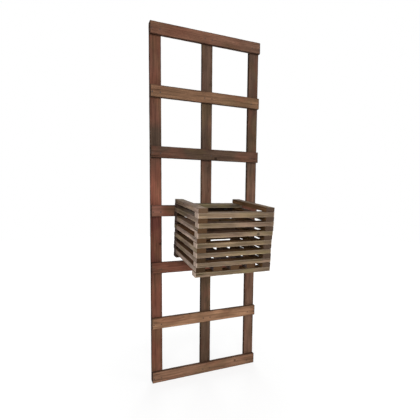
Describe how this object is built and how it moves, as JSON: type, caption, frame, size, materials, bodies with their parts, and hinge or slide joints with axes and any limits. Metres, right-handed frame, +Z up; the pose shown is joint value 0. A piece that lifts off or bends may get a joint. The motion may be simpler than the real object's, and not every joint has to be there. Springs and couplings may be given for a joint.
{
  "type": "plant trellis panel with hanging planter basket",
  "caption": "Tall wooden lattice panel of lapped and nailed boards, with a slatted planter basket hooked over a middle rail that lifts off.",
  "frame": {"origin": "centre of the middle stile's foot", "axes": "+X along the rails to the right as seen from the front, +Y to the back, +Z up the stiles"},
  "size_m": [0.61, 0.3975, 1.83],
  "materials": {
    "stile_wood": "weathered stain",
    "rail_wood": "weathered stain",
    "slat_wood": "bare and weathered",
    "floor_wood": "bare and weathered",
    "hook_steel": "zinc plated",
    "nail_iron": "dull, lightly rusted"
  },
  "bodies": {
    "panel": {"stile_left": "stile_wood", "stile_middle": "stile_wood", "stile_right": "stile_wood", "rail_1": "rail_wood", "rail_2": "rail_wood", "rail_3": "rail_wood", "rail_4": "rail_wood", "rail_5": "rail_wood", "rail_6": "rail_wood", "rail_7": "rail_wood", "rail_nails": "nail_iron"},
    "basket": {"front_slat_1": "slat_wood", "front_slat_2": "slat_wood", "front_slat_3": "slat_wood", "front_slat_4": "slat_wood", "front_slat_5": "slat_wood", "front_slat_6": "slat_wood", "front_slat_7": "slat_wood", "back_slat_1": "slat_wood", "back_slat_2": "slat_wood", "back_slat_3": "slat_wood", "back_slat_4": "slat_wood", "back_slat_5": "slat_wood", "back_slat_6": "slat_wood", "back_slat_7": "slat_wood", "left_slat_1": "slat_wood", "left_slat_2": "slat_wood", "left_slat_3": "slat_wood", "left_slat_4": "slat_wood", "left_slat_5": "slat_wood", "left_slat_6": "slat_wood", "left_slat_7": "slat_wood", "right_slat_1": "slat_wood", "right_slat_2": "slat_wood", "right_slat_3": "slat_wood", "right_slat_4": "slat_wood", "right_slat_5": "slat_wood", "right_slat_6": "slat_wood", "right_slat_7": "slat_wood", "floor_slat_1": "floor_wood", "floor_slat_2": "floor_wood", "floor_slat_3": "floor_wood", "basket_nails": "nail_iron", "hook_left": "hook_steel", "hook_right": "hook_steel", "hook_screws": "nail_iron"}
  },
  "joints": [
    {"name": "basket_lift", "type": "slide", "parent": "panel", "child": "basket", "axis": [0, -0.1, 0.995], "range_m": [0, 0.06]}
  ]
}
